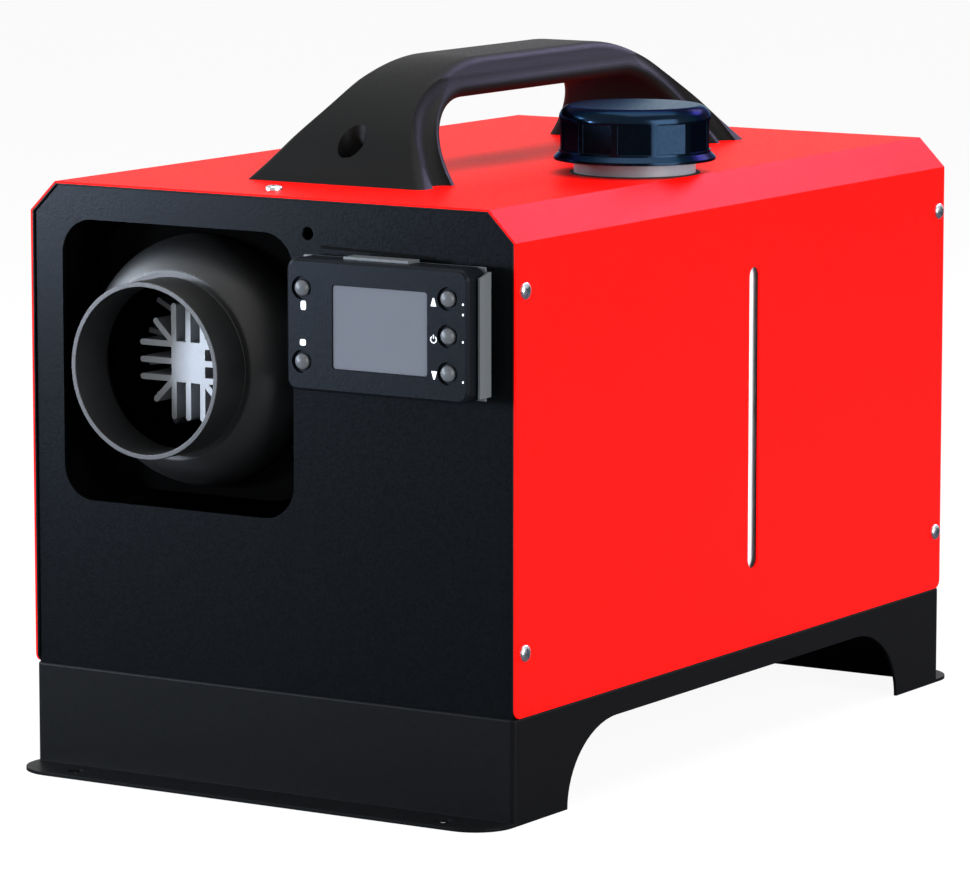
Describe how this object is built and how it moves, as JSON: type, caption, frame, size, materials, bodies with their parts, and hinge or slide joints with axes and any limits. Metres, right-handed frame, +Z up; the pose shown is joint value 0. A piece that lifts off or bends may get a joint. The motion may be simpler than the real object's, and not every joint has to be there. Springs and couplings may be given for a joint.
{
  "type": "indirect-fired diesel heater",
  "caption": "Portable indirect-fired diesel air heater in a folded steel box with a carry handle, a filler cap, a push-button controller and a round hot-air outlet.",
  "frame": {"origin": "middle of the footprint, on the floor", "axes": "+Z up, +X to the right seen from the front, +Y from the front panel to the back"},
  "size_m": [0.2494, 0.415, 0.3045],
  "materials": {
    "black_steel": "satin black powder coat",
    "red_steel": "smooth bright red powder coat",
    "zinc_steel": "zinc plated",
    "stainless_pipe": "drawn stainless tube",
    "black_moulding": "satin moulded nylon",
    "gloss_cap": "gloss moulded black",
    "natural_poly": "translucent blow-moulded",
    "black_rubber": "matt",
    "cast_alloy": "as cast",
    "brass": "turned",
    "controller_moulding": "fine textured",
    "button_moulding": "soft silicone",
    "display_glass": "clear window over a grey display",
    "circuit_board": "solder mask"
  },
  "bodies": {
    "root": {"base_frame": "black_steel", "blower_housing": "cast_alloy", "blower_motor": "cast_alloy", "bracket_screws": "zinc_steel", "burner_tube": "stainless_pipe", "carry_handle": "black_moulding", "casing_lower": "black_moulding", "casing_upper": "black_moulding", "combustion_air_pipe": "stainless_pipe", "control_unit": "black_moulding", "controller_back": "controller_moulding", "controller_board": "circuit_board", "controller_bracket": "black_steel", "controller_housing": "controller_moulding", "cover_screws": "zinc_steel", "display_module": "circuit_board", "display_window": "display_glass", "exhaust_pipe": "stainless_pipe", "front_panel": "black_steel", "fuel_filter": "natural_poly", "fuel_pump": "black_moulding", "fuel_tank": "natural_poly", "glow_plug": "zinc_steel", "handle_bolts": "zinc_steel", "handle_nuts": "zinc_steel", "heat_exchanger": "cast_alloy", "heater_stand": "zinc_steel", "hose_filter_pump": "black_rubber", "hose_pump_heater": "black_rubber", "hose_tank_filter": "black_rubber", "inlet_grille": "black_moulding", "inlet_hood": "black_moulding", "mounting_gasket": "black_rubber", "neck_grommet": "black_rubber", "outlet_hood": "black_moulding", "overheat_sensor": "cast_alloy", "partition_plate": "zinc_steel", "power_inlet": "black_moulding", "power_supply": "zinc_steel", "pump_mount": "black_rubber", "rear_panel": "black_steel", "shell_cover": "red_steel", "tank_outlet": "brass"},
    "rotor": {"rotor_shaft": "zinc_steel", "cooling_fan": "black_moulding", "combustion_impeller": "natural_poly"},
    "plunger": {"pump_plunger": "cast_alloy"},
    "gasket": {"cap_gasket": "black_rubber"},
    "breather": {"cap_breather": "black_moulding"},
    "cap": {"fuel_cap": "gloss_cap"},
    "settings_button": {"settings_button": "button_moulding"},
    "ok_button": {"ok_button": "button_moulding"},
    "up_button": {"up_button": "button_moulding"},
    "power_button": {"power_button": "button_moulding"},
    "down_button": {"down_button": "button_moulding"}
  },
  "joints": [
    {"name": "cap_lift_off", "type": "slide", "parent": "root", "child": "gasket", "axis": [0, 0, 1], "range_m": [0, 0.05]},
    {"name": "cap_rise", "type": "slide", "parent": "gasket", "child": "breather", "axis": [0, 0, 1], "range_m": [0, 0.009]},
    {"name": "cap_turn", "type": "hinge", "parent": "breather", "child": "cap", "pos_m": [0.081, -0.023, 0.27], "axis": [0, 0, 1], "range_deg": [0, 540]},
    {"name": "rotor_spin", "type": "hinge", "parent": "root", "child": "rotor", "pos_m": [-0.0493, 0.1, 0.1796], "axis": [0, 1, 0], "continuous": true},
    {"name": "pump_stroke", "type": "slide", "parent": "root", "child": "plunger", "axis": [0, 1, 0], "range_m": [0, 0.003], "stiffness_N_per_m": 300},
    {"name": "settings_press", "type": "slide", "parent": "root", "child": "settings_button", "axis": [0, 1, 0], "range_m": [0, 0.0008], "stiffness_N_per_m": 400},
    {"name": "ok_press", "type": "slide", "parent": "root", "child": "ok_button", "axis": [0, 1, 0], "range_m": [0, 0.0008], "stiffness_N_per_m": 400},
    {"name": "up_press", "type": "slide", "parent": "root", "child": "up_button", "axis": [0, 1, 0], "range_m": [0, 0.0008], "stiffness_N_per_m": 400},
    {"name": "power_press", "type": "slide", "parent": "root", "child": "power_button", "axis": [0, 1, 0], "range_m": [0, 0.0008], "stiffness_N_per_m": 400},
    {"name": "down_press", "type": "slide", "parent": "root", "child": "down_button", "axis": [0, 1, 0], "range_m": [0, 0.0008], "stiffness_N_per_m": 400}
  ],
  "couplings": [
    {"joint": "cap_rise", "follows": "cap_turn", "m_per_rad": 0.00095493}
  ]
}
